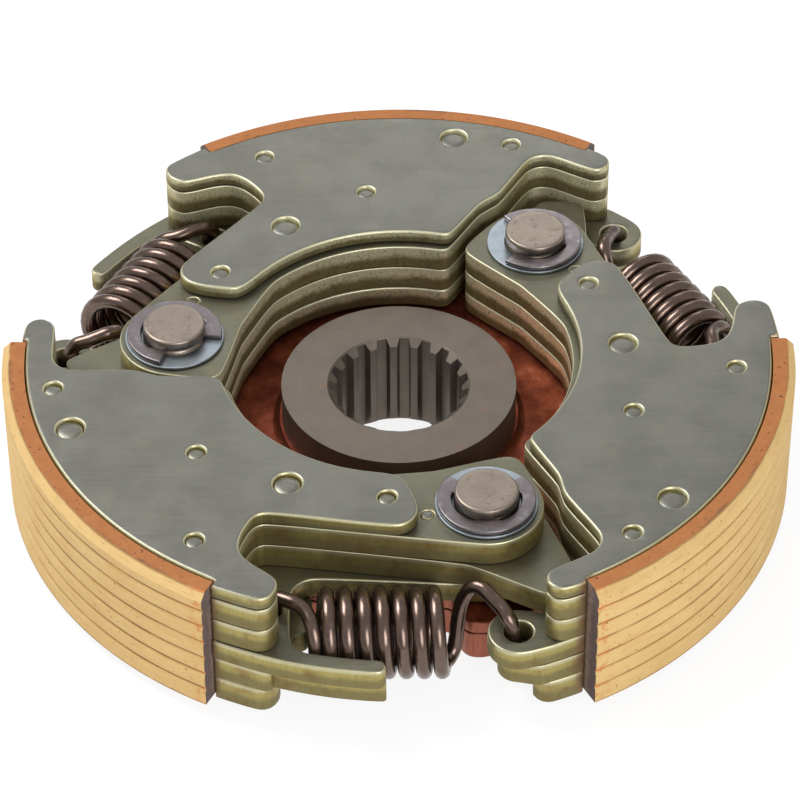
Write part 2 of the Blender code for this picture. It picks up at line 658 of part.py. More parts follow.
def clip_outline():
    """Return an E-shaped clip: an open ring with three tongues that reach into the groove."""
    grip = CLIP_GROOVE_RADIUS + BORE_GAP
    side_end = CLIP_OPENING + CLIP_SIDE_TONGUE
    middle_start = FULL_TURN / 2 - CLIP_MIDDLE_TONGUE
    half = [polar(grip, CLIP_OPENING), polar(grip, side_end)]
    half += arc(grip + CLIP_RECESS, side_end + CLIP_SLOPE, middle_start - CLIP_SLOPE, step=CLIP_STEP)
    half += [polar(grip, middle_start)]
    outer = arc(CLIP_RADIUS, CLIP_OPENING, FULL_TURN - CLIP_OPENING, step=CLIP_STEP)
    return outer + [(x, -y, rounding) for x, y, rounding in half] + half[::-1]


def make_clip(number, heading, opening):
    """Make the retaining clip, with its opening turned as it was fitted."""
    mesh = mesh_from(prism([clip_outline()], CLIP_BOTTOM, CLIP_TOP))
    add_node(f"retaining_clip_{number}", mesh, "clip_steel", CLIP_STEEL, turn=opening,
             place=(*polar(PIN_CIRCLE, heading)[:2], 0))


def coil_point(degrees):
    """Return the wire's centre at an angle along the coils, counted from the first front."""
    turn = math.radians(degrees + FULL_TURN / 2)
    return Vector((FIRST_COIL_FRONT + COIL_PITCH * degrees / FULL_TURN,
                   -SPRING_AXIS_RADIUS + COIL_RADIUS * math.cos(turn),
                   SPRING_HEIGHT + COIL_RADIUS * math.sin(turn)))


def coils():
    """Return the wire's centre line along the coils, which start and end underneath."""
    sweep = COIL_LEAD + LAST_COIL_FRONT + COIL_TRAIL
    count = round(sweep * COIL_STEPS / FULL_TURN)
    return [coil_point(sweep * i / count - COIL_LEAD) for i in range(count + 1)]


def spring_route():
    """Return the wire's centre line in the sector frame: a hook at each end, bent up from the coils."""
    turns = coils()
    left_hole = Vector((*LEFT_HOOK, SPRING_HEIGHT))
    right_hole = Vector((*RIGHT_HOOK, SPRING_HEIGHT))
    left = [Vector((*LEFT_HOOK, HOOK_BOTTOM))]
    left += [left_hole + Vector(step) for step in LEFT_ARCH]
    left += [turns[0] + Vector(step) for step in LEFT_LEG]
    right = [turns[-1] + Vector(step) for step in RIGHT_LEG]
    right += [right_hole + Vector(step) for step in RIGHT_ARCH]
    right += [Vector((RIGHT_HOOK[0] - RIGHT_HOOK_LEAN, RIGHT_HOOK[1], HOOK_BOTTOM))]
    return left + turns + right


def make_spring(number, turn):
    """Make a return spring as one bent wire, from hook to hook."""
    curve = bpy.data.curves.new("spring", "CURVE")
    curve.dimensions = "3D"
    curve.bevel_depth = WIRE_RADIUS * MM
    curve.bevel_resolution = 1
    curve.use_fill_caps = True
    route = spring_route()
    spline = curve.splines.new("POLY")
    spline.points.add(len(route) - 1)
    for point, place in zip(spline.points, route):
        point.co = (*(place * MM), 1)
    add_node(f"return_spring_{number}", curve, "spring_bronze", SPRING_BRONZE, turn=turn)


def carrier_outline():
    """Return the carrier's outline: a disc with a lobe around each pin."""
    lead_flank, trail_flank = LOBE_FLANKS
    top_corner, foot_corner = LOBE_CORNERS
    foot_round, top_round = LOBE_ROUNDS
    corners = []
    for shoe in range(SHOES):
        pin = PIN_ANGLE + SECTOR * shoe
        start = pin - LOBE_LEAD
        end = pin + LOBE_TRAIL
        corners += [polar(CARRIER_RADIUS, start - lead_flank, foot_round), polar(LOBE_RADIUS, start, top_round)]
        corners += arc(LOBE_RADIUS, start + top_corner, end - top_corner)
        corners += [polar(LOBE_RADIUS, end, top_round), polar(CARRIER_RADIUS, end + trail_flank, foot_round)]
        corners += arc(CARRIER_RADIUS, end + foot_corner, start + SECTOR - top_corner)
    return corners


def make_carrier():
    """Make the two brazed plates of the carrier, bored for the hub and the pins."""
    pins = [ring(PIN_HOLE_RADIUS, TURNED_SIDES, polar(PIN_CIRCLE, PIN_ANGLE + SECTOR * shoe))
            for shoe in range(SHOES)]
    bore = ring(HUB_RADIUS + BRAZE_GAP, HUB_SIDES)
    loops = [rounded(carrier_outline()), bore] + pins
    upper = mesh_from(prism(loops, CARRIER_SEAM, CARRIER_TOP))
    lower = mesh_from(prism(loops, CARRIER_BOTTOM, CARRIER_SEAM - FACE_GAP))
    add_node("carrier_plate", upper, "copper", COPPER)
    add_node("carrier_back_plate", lower, "copper", COPPER)


def spline_ring():
    """Return the splined bore, with straight-sided teeth."""
    pitch = FULL_TURN / SPLINE_TEETH
    ring_points = []
    for tooth in range(SPLINE_TEETH):
        middle = tooth * pitch
        ring_points += [polar(SPLINE_TIP_RADIUS, middle - pitch * SPLINE_TIP_SHARE / 2),
                        polar(SPLINE_TIP_RADIUS, middle + pitch * SPLINE_TIP_SHARE / 2),
                        polar(SPLINE_ROOT_RADIUS, middle + pitch * (1 - SPLINE_ROOT_SHARE) / 2),
                        polar(SPLINE_ROOT_RADIUS, middle + pitch * (1 + SPLINE_ROOT_SHARE) / 2)]
    return ring_points


def make_hub():
    """Make the splined hub, with its rims broken by a small chamfer."""
    bm = prism([ring(HUB_RADIUS, HUB_SIDES), spline_ring()], 0, HUB_HEIGHT)
    rim = [edge for edge in bm.edges
           if all(vert.co.to_2d().length > HUB_RADIUS - 0.01 for vert in edge.verts)
           and abs(edge.verts[0].co.z - edge.verts[1].co.z) < 0.01]
    bmesh.ops.bevel(bm, geom=rim, offset=HUB_CHAMFER, segments=1, affect="EDGES")
    add_node("hub", mesh_from(bm, smooth=True), "hub_steel", HUB_STEEL)


def make_clutch():
    """Make every piece of the clutch."""
    clear_scene()
    make_hub()
    make_carrier()
    for shoe in range(SHOES):
        number = shoe + 1
        heading = PIN_ANGLE + SECTOR * shoe
        make_shoe(number, heading)
        make_pin(number, heading)
        make_washer(number, heading)
        make_clip(number, heading, CLIP_HEADINGS[shoe])
        make_spring(number, SECTOR * shoe)


make_clutch()
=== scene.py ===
# %% [markdown]
# # A three-shoe centrifugal clutch
#
# A centrifugal clutch is a hub that an engine turns, with three weighted shoes hung on pins
# around it. Springs hold the shoes in. As the hub speeds up, the shoes swing out, and the
# linings on their backs grip a drum. This lesson dresses a measured model of one in Blender.
# The measured model is the frame, and the finished pieces are fitted to it; all but the springs ride on it.

# %% Load the measured model
import math

import bmesh
import bpy
from mathutils import Matrix, Vector


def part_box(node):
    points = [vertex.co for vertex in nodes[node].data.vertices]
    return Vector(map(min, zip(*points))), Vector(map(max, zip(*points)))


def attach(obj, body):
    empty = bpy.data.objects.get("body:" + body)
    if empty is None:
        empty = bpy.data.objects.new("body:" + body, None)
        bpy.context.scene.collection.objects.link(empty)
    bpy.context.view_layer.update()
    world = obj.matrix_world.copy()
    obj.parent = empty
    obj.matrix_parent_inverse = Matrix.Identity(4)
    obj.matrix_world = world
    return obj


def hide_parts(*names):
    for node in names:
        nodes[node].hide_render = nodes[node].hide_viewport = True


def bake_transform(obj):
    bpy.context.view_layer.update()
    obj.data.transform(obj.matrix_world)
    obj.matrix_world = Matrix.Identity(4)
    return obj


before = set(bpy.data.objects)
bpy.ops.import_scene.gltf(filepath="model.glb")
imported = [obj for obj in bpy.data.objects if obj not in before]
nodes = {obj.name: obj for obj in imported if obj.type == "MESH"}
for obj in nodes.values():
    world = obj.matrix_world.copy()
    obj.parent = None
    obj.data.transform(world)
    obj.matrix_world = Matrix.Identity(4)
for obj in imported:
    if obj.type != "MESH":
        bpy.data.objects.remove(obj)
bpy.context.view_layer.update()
MM = 0.001
TOUCH = 1e-6
SHOES = (1, 2, 3)
SECTOR = 120

# %% [markdown]
# ## Shader maths that reads like Python
#
# A finish in Blender is a graph of nodes. Drawn by hand it is a web of little boxes, and it
# is hard to read back. Here one small class stands for one output socket and takes over the
# signs + - * / and **, so that a line of arithmetic adds the Math nodes it needs. Every other
# node comes from its one method, which sets the node's own settings and then its sockets.


# %% One socket, with arithmetic
class Signal:
    """A value on its way through a shader: one output socket."""

    def __init__(self, socket):
        self.socket = socket

    def node(self, kind, settings=None, inputs=None, output=0):
        """Add a node to the same shader and return one of its outputs."""
        tree = self.socket.id_data
        made = tree.nodes.new(kind)
        for name, value in (settings or {}).items():
            setattr(made, name, value)
        for name, value in (inputs or {}).items():
            if isinstance(value, Signal):
                tree.links.new(value.socket, made.inputs[name])
            else:
                made.inputs[name].default_value = value
        return Signal(made.outputs[output])

    def maths(self, operation, first, second=0.0):
        """Add a Math node that works on two values."""
        return self.node("ShaderNodeMath", {"operation": operation}, {0: first, 1: second})

    def __add__(self, other):
        return self.maths("ADD", self, other)

    def __radd__(self, other):
        return self.maths("ADD", other, self)

    def __sub__(self, other):
        return self.maths("SUBTRACT", self, other)

    def __rsub__(self, other):
        return self.maths("SUBTRACT", other, self)

    def __mul__(self, other):
        return self.maths("MULTIPLY", self, other)

    def __rmul__(self, other):
        return self.maths("MULTIPLY", other, self)

    def __truediv__(self, other):
        return self.maths("DIVIDE", self, other)

    def __rtruediv__(self, other):
        return self.maths("DIVIDE", other, self)

    def __pow__(self, other):
        return self.maths("POWER", self, other)

    def __rpow__(self, other):
        return self.maths("POWER", other, self)


print("a Signal adds nodes by arithmetic")


# %% Helpers that every finish uses
def linear(red, green, blue):
    """Turn a colour as a screen shows it, 0 to 255, into the linear values that shaders use."""
    shares = (red / 255, green / 255, blue / 255)
    return tuple(s / 12.92 if s <= 0.04045 else ((s + 0.055) / 1.055) ** 2.4 for s in shares)


def tone(colour, factor):
    """Return a colour made darker or lighter by a factor."""
    return tuple(min(1, value * factor) for value in colour)


def start_finish(name):
    """Make an empty finish and return it, its shader, and its coordinates in millimetres."""
    finish = bpy.data.materials.new(name)
    finish.use_nodes = True
    shader = finish.node_tree.nodes["Principled BSDF"]
    where = Signal(finish.node_tree.nodes.new("ShaderNodeTexCoord").outputs["Object"])
    place = where.node("ShaderNodeVectorMath", {"operation": "SCALE"}, {0: where, "Scale": 1 / MM})
    return finish, shader, place


def noise(place, size, detail=3.0, roughness=0.55, stretch=(1, 1, 1)):
    """Return soft noise whose spots are about size millimetres, stretched per axis."""
    spread = place.node("ShaderNodeVectorMath", {"operation": "MULTIPLY"},
                        {0: place, 1: tuple(1 / (size * s) for s in stretch)})
    return spread.node("ShaderNodeTexNoise", {},
                       {"Vector": spread, "Scale": 1.0, "Detail": detail, "Roughness": roughness})


def between(value, low, high):
    """Return 0 below low, 1 above high, and a smooth rise between them."""
    return value.node("ShaderNodeMapRange", {"interpolation_type": "SMOOTHSTEP"},
                      {"Value": value, "From Min": low, "From Max": high})


def mix(share, first, second):
    """Return a colour that goes from the first to the second as share goes from 0 to 1."""
    def full(colour):
        return colour if isinstance(colour, Signal) else (*colour, 1)
    return share.node("ShaderNodeMix", {"data_type": "RGBA"},
                      {0: share, 6: full(first), 7: full(second)}, output=2)


def join(shader, socket, signal):
    """Lead a signal into one of the shader's own sockets."""
    shader.id_data.links.new(signal.socket, shader.inputs[socket])


def raise_by(shader, height, depth):
    """Let a height from 0 to 1 roughen the surface, by depth millimetres."""
    join(shader, "Normal", height.node("ShaderNodeBump", {}, {"Height": height, "Distance": depth * MM}))


def object_normal(place):
    """Return x, y and z of the surface's own normal, which turns with the piece."""
    source = place.node("ShaderNodeTexCoord", {}, {}, output="Normal")
    return [source.node("ShaderNodeSeparateXYZ", {}, {0: source}, output=axis) for axis in "XYZ"]


def axes(place):
    """Return x, y and z of a place."""
    return [place.node("ShaderNodeSeparateXYZ", {}, {0: place}, output=axis) for axis in "XYZ"]


def share_of_sector(x, y, start=0.0):
    """Return how far round its own third of the clutch a place is, from 0 to 1."""
    sector = y.maths("ARCTAN2", y, x) * (180 / math.pi / SECTOR)
    return sector.maths("FRACT", sector - start / SECTOR)


print("grey of the shoes' faces:", [round(value, 3) for value in linear(117, 117, 110)])

# %% [markdown]
# ## The plates' finish: zinc under a yellow passivate
#
# The shoes are stacks of stamped steel plates. Stamping leaves a flat face, a smooth bright
# band at the start of each cut edge, and a torn, duller band where the metal broke away. The
# plates were then zinc plated and yellow passivated. The faces look grey with a breath of
# olive, and the cut edges are straw yellow. A painted picture could show this, but a rule
# works for all the plates at once: faces that look up are grey, walls are yellow, and an
# attribute named depth says how far down the cut a point is. Walls that look at the hub get
# a pale painted highlight on the upper band of the cut, and painted shade with dark specks
# below it. The top of every cut edge gets a pale painted highlight. Beside the linings'
# ends the adhesive left a brown smear.


# %% Stamped and zinc-plated steel
def plated_steel(name, face, tint, wall):
    """Return the finish of a stamped plate: its face, the tint on the face, and its walls."""
    finish, shader, place = start_finish(name)
    x, y = axes(place)[:2]
    normal_x, normal_y, upward = object_normal(place)
    reach = (x * x + y * y) ** 0.5
    outward = (normal_x * x + normal_y * y) / reach
    # Walls that face the hub get painted shade low on the cut and a painted highlight on its upper band.
    hub_side_shade_and_sheen = 1 - between(outward + noise(place, 3, 3) * 0.3, -0.45, 0.45)
    flat = between(upward.maths("ABSOLUTE", upward), 0.80, 0.97)
    cloud = noise(place, 9, 4)
    grain = noise(place, 0.5, 5, 0.7)
    brush = noise(place, 0.20, 3, 0.6, (60, 1, 1))
    scratch = between(noise(place, 0.22, 2, 0.5, (1.5, 40, 1)), 0.60, 0.72)
    shade = mix(between(cloud, 0.35, 0.65), tone(face, 0.90), tone(face, 1.08))
    shade = mix(between(noise(place, 5, 5, 0.7), 0.52, 0.74) * 0.35, shade, tint)
    shade = mix(between(brush, 0.35, 0.7) * 0.19, shade, tone(face, 1.6))
    shade = mix(grain * 0.20, shade, tone(face, 0.55))
    shade = mix(scratch * 0.05, shade, linear(172, 172, 164))
    depth = place.node("ShaderNodeAttribute", {"attribute_name": "depth"}, {}, output="Fac")
    shear = noise(place, 0.32, 3, 0.6, (1, 1, 14))
    rough = noise(place, 0.45, 5, 0.8)
    blotch = noise(place, 3.5, 4, 0.65)
    torn = between(depth + blotch * 0.35 - 0.18, 0.30, 0.62)
    cut = mix(shear, tone(wall, 0.75), tone(wall, 1.25))
    broken = mix(rough, tone(wall, 0.30), tone(face, 0.95))
    side = mix(torn * 0.60, cut, broken)
    side = mix(between(blotch, 0.50, 0.68) * 0.5, side, linear(128, 96, 54))
    upper = 1 - between(depth + blotch * 0.4 - 0.2, 0.30, 0.62)
    # Painted highlight on the upper band of walls that face the hub, then painted shade with dark specks
    # below it.
    side = mix(upper * hub_side_shade_and_sheen * (0.50 + shear * 0.5), side, linear(222, 220, 186))
    side = mix((1 - upper) * hub_side_shade_and_sheen * 0.35, side, linear(66, 60, 40))
    side = mix(between(rough, 0.52, 0.62) * hub_side_shade_and_sheen * 0.70, side, linear(42, 38, 30))
    # A pale painted highlight runs along the top of every cut edge, over the rolled-over band.
    rim = 1 - between(depth + blotch * 0.1, 0.08, 0.32)
    side = mix(rim * 0.75, side, linear(212, 208, 176))
    # The linings end at the shares 0.017 and 0.484, and lie on the plates at a reach of 65.
    share = share_of_sector(x, y)
    beside = between(share, 0.010, 0.018) * (1 - between(share + rough * 0.02, 0.028, 0.042))
    beside = beside + between(share + rough * 0.02, 0.474, 0.488) * (1 - between(share, 0.490, 0.496))
    smear = beside * between(reach + blotch * 1.5, 64.2, 65.4)
    side = mix(smear * 0.65, side, linear(140, 104, 84))
    join(shader, "Base Color", mix(flat, side, shade))
    worn = noise(place, 2.2, 4, 0.7)
    join(shader, "Roughness", worn * 0.16 + grain * 0.12 + brush * 0.12 + torn * (1 - flat) * 0.16 + 0.20)
    join(shader, "Metallic", 0.85 - hub_side_shade_and_sheen * (1 - flat) * 0.3)
    height = (grain * 0.25 + brush * 0.45) * flat + (1 - flat) * (shear + rough * torn) * 0.9
    raise_by(shader, height, 0.035)
    return finish


top_finish = plated_steel("stamped_steel_face", linear(117, 117, 110), linear(132, 130, 104),
                          linear(168, 156, 96))
inner_finish = plated_steel("yellow_zinc_plate", linear(112, 110, 94), linear(134, 128, 84),
                            linear(166, 152, 92))
print("plate finishes:", top_finish.name, inner_finish.name)

# %% [markdown]
# ## Modelling by operators
#
# Each piece is made with the tools that a hand at the screen would use. Those tools act on
# everything that is selected, so a script has to choose before each step. These helpers
# choose one object, or the vertices, edges or faces that pass a test, mend a mesh once its
# shape is done, and put a finished piece in its place: its mesh holds its place, and its
# object stays at the origin.


# %% Choosing, and placing what is finished
def pick(piece):
    """Make one object the only selected one."""
    if bpy.context.mode != "OBJECT":
        bpy.ops.object.mode_set(mode="OBJECT")
    bpy.ops.object.select_all(action="DESELECT")
    piece.select_set(True)
    bpy.context.view_layer.objects.active = piece


def choose(piece, kind, test):
    """In edit mode, select the vertices, edges or faces that pass a test."""
    bpy.ops.mesh.select_mode(type=kind)
    bpy.ops.mesh.select_all(action="DESELECT")
    mesh = bmesh.from_edit_mesh(piece.data)
    parts = {"VERT": mesh.verts, "EDGE": mesh.edges, "FACE": mesh.faces}[kind]
    for part in parts:
        if test(part):
            part.select_set(True)
    mesh.select_flush_mode()
    bmesh.update_edit_mesh(piece.data)


def apply_modifier(piece, kind, **settings):
    """Add one modifier, set it, and apply it."""
    pick(piece)
    modifier = piece.modifiers.new(kind.title(), kind)
    for name, value in settings.items():
        setattr(modifier, name, value)
    bpy.ops.object.modifier_apply(modifier=modifier.name)


def mend_mesh(weld=0.0):
    """Weld the points that lie within some millimetres, and turn all faces outwards."""
    if bpy.context.mode != "EDIT_MESH":
        bpy.ops.object.mode_set(mode="EDIT")
    bpy.ops.mesh.select_all(action="SELECT")
    if weld:
        bpy.ops.mesh.remove_doubles(threshold=weld * MM)
    bpy.ops.mesh.normals_make_consistent(inside=False)
    bpy.ops.object.mode_set(mode="OBJECT")


def round_over(piece):
    """Smooth the shading, with the large faces kept flat."""
    pick(piece)
    bpy.ops.object.shade_smooth()
    apply_modifier(piece, "WEIGHTED_NORMAL", weight=90)


def place_piece(piece, name, body, finish, slot, *stands_for):
    """Fix a piece's place in its mesh, give it its finish, and tie it to its body."""
    pick(piece)
    bpy.ops.object.transform_apply(location=True, rotation=True, scale=True)
    piece.name = name
    piece.data.name = name
    piece.data.materials.clear()
    piece.data.materials.append(finish)
    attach(piece, body)
    if stands_for:
        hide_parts(*stands_for)
    return piece


def copy_of(piece):
    """Copy a piece, with a mesh of its own."""
    twin = bpy.data.objects.new(piece.name, piece.data.copy())
    bpy.context.scene.collection.objects.link(twin)
    return twin


print("helpers ready, mode:", bpy.context.mode)

# %% [markdown]
# ## Stamped plates from measured outlines
#
# A stamped plate is an outline with a thickness, and its edges are rolled over a little. The
# measured plates have the right outline in short straight runs. Redrawing them would risk a
# wrong size. Bevelling the measured solid would keep its facets. The way here takes the best
# of both: the top face's boundary is kept as a wire, sharp corners get a second point, and
# the wire becomes a smooth curve. A flat curve in Blender can fill itself, holes included,
# take a thickness, and round its own edges.

# %% A smooth plate from a measured one
ROLL_OVER = {"top_plate": 0.55, "upper_arm_plate": 0.3, "lower_arm_plate": 0.2, "spring_plate": 0.45,
             "guard_plate": 0.2, "bottom_plate": 0.5, "carrier_plate": 0.3, "carrier_back_plate": 0.4,
             "pin_washer": 0.12, "retaining_clip": 0.25}
SHARP_TURN = 50


def outline_of(node):
    """Return a wire of the outline and the holes in a node's top face."""
    wire = bpy.data.objects.new(node, nodes[node].data.copy())
    bpy.context.scene.collection.objects.link(wire)
    pick(wire)
    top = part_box(node)[1].z
    bpy.ops.object.mode_set(mode="EDIT")
    bpy.ops.mesh.select_all(action="SELECT")
    bpy.ops.mesh.remove_doubles(threshold=0.002 * MM)
    choose(wire, "FACE", lambda face: face.normal.z > 0.9 and face.calc_center_median().z > top - 0.01 * MM)
    bpy.ops.mesh.region_to_loop()
    bpy.ops.mesh.select_all(action="INVERT")
    bpy.ops.mesh.delete(type="EDGE")
    choose(wire, "VERT", lambda vert: len(vert.link_edges) == 2
           and vert.calc_edge_angle(0) > math.radians(SHARP_TURN))
    bpy.ops.mesh.bevel(affect="VERTICES", offset=0.25 * MM, segments=1)
    bpy.ops.object.mode_set(mode="OBJECT")
    return wire


def stamped_plate(node, kind):
    """Return a smooth plate with rounded edges, in the place of a measured one."""
    roll_over = ROLL_OVER[kind]
    low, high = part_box(node)
    plate = outline_of(node)
    bpy.ops.object.convert(target="CURVE")
    curve = plate.data
    curve.dimensions = "2D"
    bpy.ops.object.mode_set(mode="EDIT")
    bpy.ops.curve.select_all(action="SELECT")
    bpy.ops.curve.spline_type_set(type="NURBS")
    bpy.ops.object.mode_set(mode="OBJECT")
    for spline in curve.splines:
        spline.use_cyclic_u = True
        spline.order_u = 3
        spline.resolution_u = 4
    curve.fill_mode = "BOTH"
    curve.bevel_depth = roll_over * MM
    curve.bevel_resolution = 2
    curve.offset = -roll_over * MM
    curve.extrude = (high.z - low.z) / 2 - roll_over * MM
    bpy.ops.object.convert(target="MESH")
    mend_mesh(weld=0.001)
    plate.location.z = (high.z + low.z) / 2
    bpy.ops.object.transform_apply(location=True)
    depth = plate.data.attributes.new("depth", "FLOAT", "POINT")
    depth.data.foreach_set("value", [(high.z - vert.co.z) / (high.z - low.z) for vert in plate.data.vertices])
    round_over(plate)
    return plate


PLATES = ("top_plate", "upper_arm_plate", "lower_arm_plate", "spring_plate", "guard_plate", "bottom_plate")
for shoe in SHOES:
    for kind in PLATES:
        node = f"shoe_{shoe}_{kind}"
        finish, slot = (top_finish, "steel_top") if kind == "top_plate" else (inner_finish, "zinc_yellow")
        place_piece(stamped_plate(node, kind), f"{node}_stamped", f"shoe_{shoe}", finish, slot, node)

# %% [markdown]
# ## The copper-brazed carrier
#
# Two thick stamped plates carry the pins. They were joined to each other and to the hub in a
# brazing furnace, where copper wire melts, runs along every joint and washes over the steel.
# The skin is a warm, uneven copper, pinker where the cut edge is fresh, and its pale pink
# patches are painted highlights. The outline is stamped too, so the same way as for the
# shoes' plates gives the shape.


# %% Brazed copper skin
def brazed_copper():
    """Return the finish of the brazed carrier: its washed faces and its pinker walls."""
    finish, shader, place = start_finish("brazed_copper")
    upward = object_normal(place)[2]
    flat = between(upward.maths("ABSOLUTE", upward), 0.5, 0.9)
    wash_and_sheen = noise(place, 4.5, 5, 0.65)
    fine = noise(place, 0.45, 4, 0.7)
    shear = noise(place, 0.4, 3, 0.6, (1, 1, 12))
    skin = mix(between(wash_and_sheen, 0.3, 0.7), linear(104, 46, 32), linear(150, 78, 56))
    # Pale pink patches on the faces are painted highlights, scattered by noise.
    skin = mix(between(wash_and_sheen, 0.60, 0.75) * 0.6, skin, linear(186, 124, 100))
    skin = mix(between(fine, 0.60, 0.75) * 0.6, skin, linear(58, 32, 26))
    wall = mix(shear, linear(112, 54, 40), linear(178, 112, 90))
    join(shader, "Base Color", mix(flat, wall, skin))
    join(shader, "Roughness", fine * 0.2 + wash_and_sheen * 0.15 + 0.18)
    shader.inputs["Metallic"].default_value = 0.9
    raise_by(shader, fine * 0.6 + shear * (1 - flat), 0.03)
    return finish


copper_finish = brazed_copper()
for node in ("carrier_plate", "carrier_back_plate"):
    place_piece(stamped_plate(node, node), f"{node}_brazed", "carrier", copper_finish, "copper", node)

# %% [markdown]
# ## The friction linings
#
# Each shoe's back carries a block of pressed friction stuff: straw-coloured resin with brown
# grit, ground true on its outer face, which leaves seven shallow bands. The lining is a
# section swept round the clutch's axis, so the section is shaped first, as a flat face, and
# then spun. The grooves are points of the outer edge pulled in before the spin, which keeps
# them sharp and even all the way.

# %% The lining's section and its sweep
LINING_RADIUS = 69.0
LINING_THICKNESS = 3.95
LINING_BOTTOM = 2.4
LINING_HEIGHT = 25.4
LINING_CHAMFER = 1.4
LINING_START = 156.5
LINING_SWEEP = 63.9
SHOE_TURN = 21.6
BANDS = 7
STEPS_PER_BAND = 8
GROOVE_DEPTH = 0.42


def lining_block():
    """Return one lining that starts on the X axis and runs anticlockwise."""
    middle = Vector((LINING_RADIUS - LINING_THICKNESS / 2, 0, LINING_BOTTOM + LINING_HEIGHT / 2))
    bpy.ops.object.select_all(action="DESELECT")
    bpy.ops.mesh.primitive_plane_add(size=1, location=middle * MM, rotation=(math.pi / 2, 0, 0))
    block = bpy.context.object
    block.scale = (LINING_THICKNESS * MM, LINING_HEIGHT * MM, 1)
    bpy.ops.object.transform_apply(location=True, rotation=True, scale=True)
    rim = LINING_RADIUS * MM - TOUCH
    top = (LINING_BOTTOM + LINING_HEIGHT) * MM - TOUCH
    bpy.ops.object.mode_set(mode="EDIT")
    choose(block, "VERT", lambda vert: vert.co.x > rim and vert.co.z > top)
    bpy.ops.mesh.bevel(affect="VERTICES", offset=LINING_CHAMFER * MM, segments=1)
    choose(block, "EDGE", lambda edge: all(vert.co.x > rim for vert in edge.verts))
    # The chamfer takes the place of about three steps, and one cut fewer than steps is needed.
    bpy.ops.mesh.subdivide(number_cuts=BANDS * STEPS_PER_BAND - 4)
    step = LINING_HEIGHT / (BANDS * STEPS_PER_BAND)
    for reach, depth in ((0.5, GROOVE_DEPTH * 0.7), (1.5, GROOVE_DEPTH * 0.3)):
        choose(block, "VERT", lambda vert: vert.co.x > LINING_RADIUS * MM * 0.99
               and groove_distance(vert) < reach * step)
        bpy.ops.transform.translate(value=(-depth * MM, 0, 0))
    bpy.ops.mesh.select_all(action="SELECT")
    bpy.ops.mesh.spin(steps=84, angle=math.radians(LINING_SWEEP), center=(0, 0, 0), axis=(0, 0, -1))
    mend_mesh()
    return block


def groove_distance(vert):
    """Return how far a point is from the nearest groove, in millimetres."""
    band = LINING_HEIGHT / BANDS
    place = (vert.co.z / MM - LINING_BOTTOM) / band
    nearest = round(place)
    return abs(place - nearest) * band if 0 < nearest < BANDS else LINING_HEIGHT


block = lining_block()
print("lining runs from", [round(value / MM, 1) for value in block.bound_box[0]],
      "to", [round(value / MM, 1) for value in block.bound_box[6]])

# %% [markdown]
# ## The lining's finish
#
# Three things happen on this surface. The ground outer face is pale, with thin brown lines
# where the grindstone's bands meet, and a few orange burns near its ends. The upper face kept
# the orange skin of the mould. The cut ends are smeared with adhesive, brown by the plates
# and dark grey by the rim. The finish tells them apart by which way the surface faces:
# outwards, upwards, or along the rim. Distance from the axis and height are worked out from
# Object coordinates, so the lines follow the curve.


# %% Pressed friction material
def friction_material():
    """Return the linings' finish: pale and banded outside, orange on top, smeared at the ends."""
    finish, shader, place = start_finish("pressed_friction_lining")
    x, y, z = axes(place)
    normal_x, normal_y, normal_z = object_normal(place)
    reach = (x * x + y * y) ** 0.5
    outward = (normal_x * x + normal_y * y) / reach
    upper = between(normal_z, 0.86, 0.96)
    ends = 1 - between(outward.maths("ABSOLUTE", outward) + normal_z.maths("ABSOLUTE", normal_z), 0.25, 0.6)
    band = (z - LINING_BOTTOM) / (LINING_HEIGHT / BANDS)
    wobble = noise(place, 12, 2) * 0.12 - 0.06
    in_band = band.maths("FRACT", band + wobble)
    seam = 1 - between(in_band.maths("PINGPONG", in_band, 0.5), 0.02, 0.10)
    hairline = noise(place, 0.5, 4, 0.7, (9, 9, 0.55))
    pale = mix(noise(place, 7, 4, 0.6), linear(206, 168, 104), linear(226, 194, 134))
    pale = mix(between(hairline, 0.50, 0.68) * 0.30, pale, linear(182, 132, 72))
    pale = mix(seam * between(noise(place, 5, 3), 0.15, 0.5) * 0.85, pale, linear(146, 98, 50))
    grit = between(noise(place, 0.62, 2, 0.5), 0.70, 0.73)
    pale = mix(grit * 0.85, pale, linear(136, 86, 44))
    orange = mix(noise(place, 2.4, 5, 0.7), linear(146, 86, 42), linear(184, 120, 66))
    orange = mix(between(noise(place, 0.7, 2, 0.5), 0.66, 0.70) * 0.85, orange, linear(92, 52, 30))
    edge = LINING_RADIUS - LINING_CHAMFER
    lip = between(reach + noise(place, 2.2, 4, 0.7) * 1.2, edge - 0.1, edge + 0.9)
    stain = lip * between(noise(place, 16, 3, 0.6), 0.54, 0.60)
    orange = mix(stain * 0.8, orange, linear(74, 60, 50))
    outside = between(reach + noise(place, 1.6, 4, 0.7) * 3, 67.0, 69.0)
    glue = mix(noise(place, 2.0, 4, 0.7), linear(132, 108, 92), linear(160, 140, 122))
    glue = mix(outside * 0.9, glue, linear(92, 76, 76))
    glue = mix(between(noise(place, 1.2, 4, 0.7), 0.55, 0.70) * 0.7, glue, linear(70, 54, 50))
    # Counted from its start, a lining ends at the share 0.532.
    along = share_of_sector(x, y, LINING_START + SHOE_TURN)
    near_end = 1 - between(along, 0.004, 0.028) + between(along, 0.504, 0.528)
    burnt = near_end * between(noise(place, 1.8, 4, 0.7) + seam * 0.12, 0.52, 0.62)
    pale = mix(burnt * 0.7, pale, linear(206, 126, 66))
    colour = mix(upper, pale, orange)
    join(shader, "Base Color", mix(ends, colour, glue))
    join(shader, "Roughness", noise(place, 1.5) * 0.15 + 0.72)
    height = hairline * 0.5 + grit * -0.6 + noise(place, 0.25, 3, 0.6) * 0.5
    raise_by(shader, height, 0.06)
    return finish


